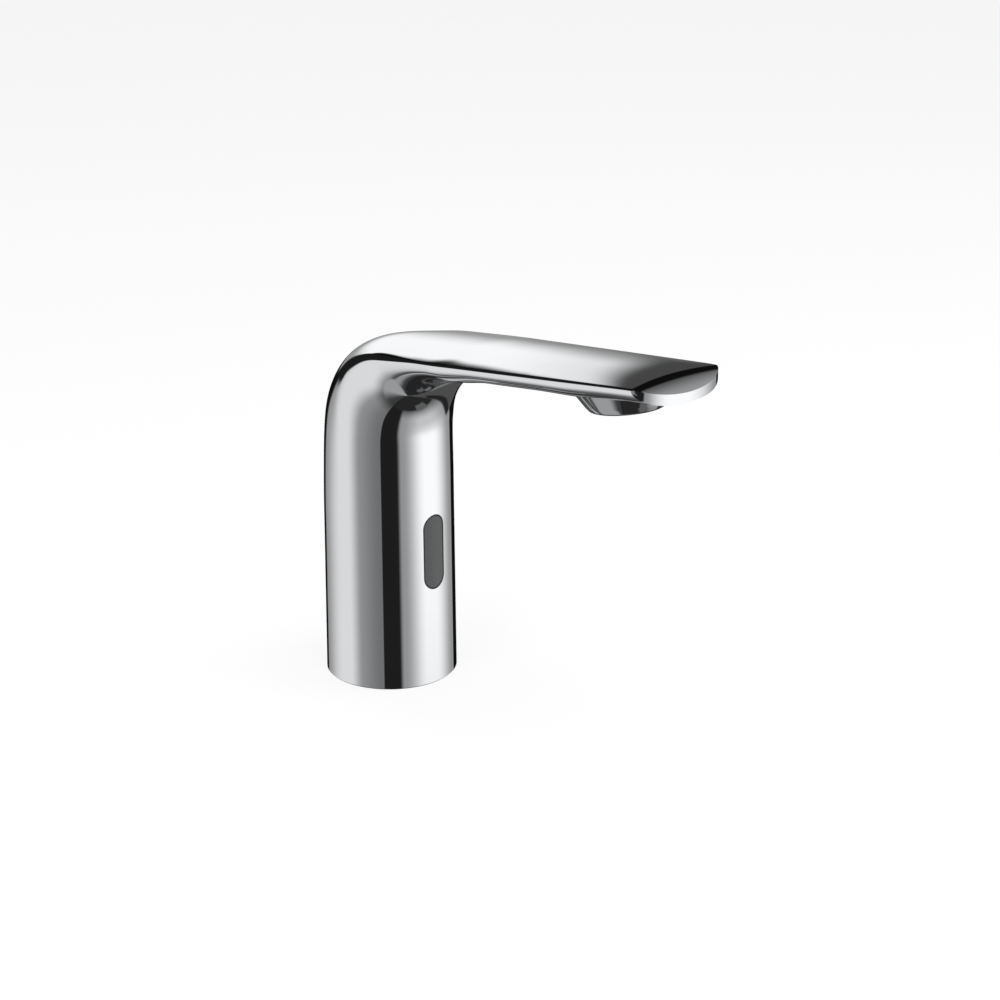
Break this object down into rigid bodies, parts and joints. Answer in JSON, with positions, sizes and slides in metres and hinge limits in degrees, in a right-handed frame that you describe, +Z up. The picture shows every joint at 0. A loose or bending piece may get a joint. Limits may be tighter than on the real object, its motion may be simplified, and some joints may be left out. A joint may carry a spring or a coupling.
{
  "type": "sensor basin tap",
  "caption": "Deck-mounted electronic basin tap: round chrome body with a flat-topped spout, infrared window, internal battery, solenoid valve and aerator.",
  "frame": {"origin": "centre of the base face where the body stands on the worktop", "axes": "+Z up along the body, -Y the way the spout and the sensor window face, +X to the right seen from behind the spout's tip towards the body"},
  "size_m": [0.0498, 0.1695, 0.1434],
  "materials": {
    "chrome_plate": "mirror chrome plate on cast brass",
    "brass": "machined brass",
    "steel": "turned stainless steel",
    "zinc_steel": "bright zinc plated steel",
    "rubber": "black moulded rubber",
    "valve_plastic": "glass-filled moulded plastic, off-white",
    "black_plastic": "black moulded plastic",
    "grey_plastic": "grey moulded plastic",
    "window_black": "dark glossy infrared window",
    "copper_wire": "enamelled copper winding",
    "board_green": "lacquered circuit board",
    "chip_black": "moulded chip",
    "diode_clear": "clear epoxy",
    "diode_dark": "infrared filter epoxy",
    "battery_wrap": "printed-free battery sleeve",
    "contact_metal": "nickel plated spring strip",
    "lead_jacket": "black lead jacket",
    "aerator_plastic": "grey acetal",
    "mesh_plastic": "pale grey acetal"
  },
  "bodies": {
    "tap": {"body_casting": "chrome_plate", "foot_seal": "rubber", "base_flange": "brass", "flange_ring": "rubber", "lock_screw": "steel", "valve_body": "valve_plastic", "frame_screws": "zinc_steel", "inlet_filter": "mesh_plastic", "check_valve_body": "grey_plastic", "check_spring": "steel", "diaphragm": "rubber", "bonnet": "grey_plastic", "bonnet_screws": "zinc_steel", "plunger_spring": "steel", "guide_tube": "steel", "fixed_core": "steel", "coil_bobbin": "black_plastic", "coil_winding": "copper_wire", "coil_yoke": "zinc_steel", "coil_pins": "contact_metal", "outlet_tube": "steel", "tube_rings": "rubber", "inner_frame": "grey_plastic", "sensor_window": "window_black", "window_seal": "rubber", "sensor_housing": "black_plastic", "sensor_cover": "black_plastic", "sensor_board": "board_green", "board_chip": "chip_black", "emitter_diode": "diode_clear", "receiver_diode": "diode_dark", "sensor_screws": "zinc_steel", "battery": "battery_wrap", "battery_holder": "black_plastic", "battery_contacts": "contact_metal", "battery_strap": "grey_plastic", "battery_lead": "lead_jacket", "aerator_housing": "aerator_plastic", "aerator_mesh": "mesh_plastic", "aerator_diffuser": "valve_plastic", "aerator_washer": "rubber"},
    "plunger": {"plunger": "steel", "plunger_seal": "rubber"},
    "diaphragm_plate": {"diaphragm_plate": "valve_plastic"},
    "check_poppet": {"check_poppet": "valve_plastic"}
  },
  "joints": [
    {"name": "plunger_lift", "type": "slide", "parent": "tap", "child": "plunger", "axis": [0, 0, 1], "range_m": [0, 0.0012], "stiffness_N_per_m": 150, "springref_m": -0.004, "deforming": ["plunger_spring"]},
    {"name": "diaphragm_lift", "type": "slide", "parent": "tap", "child": "diaphragm_plate", "axis": [0, 0, 1], "range_m": [0, 0.0015], "deforming": ["diaphragm"]},
    {"name": "check_valve_lift", "type": "slide", "parent": "tap", "child": "check_poppet", "axis": [0, 0, 1], "range_m": [0, 0.002], "stiffness_N_per_m": 60, "springref_m": -0.002, "deforming": ["check_spring"]}
  ],
  "couplings": [
    {"joint": "diaphragm_lift", "follows": "plunger_lift", "ratio": 1.25}
  ]
}
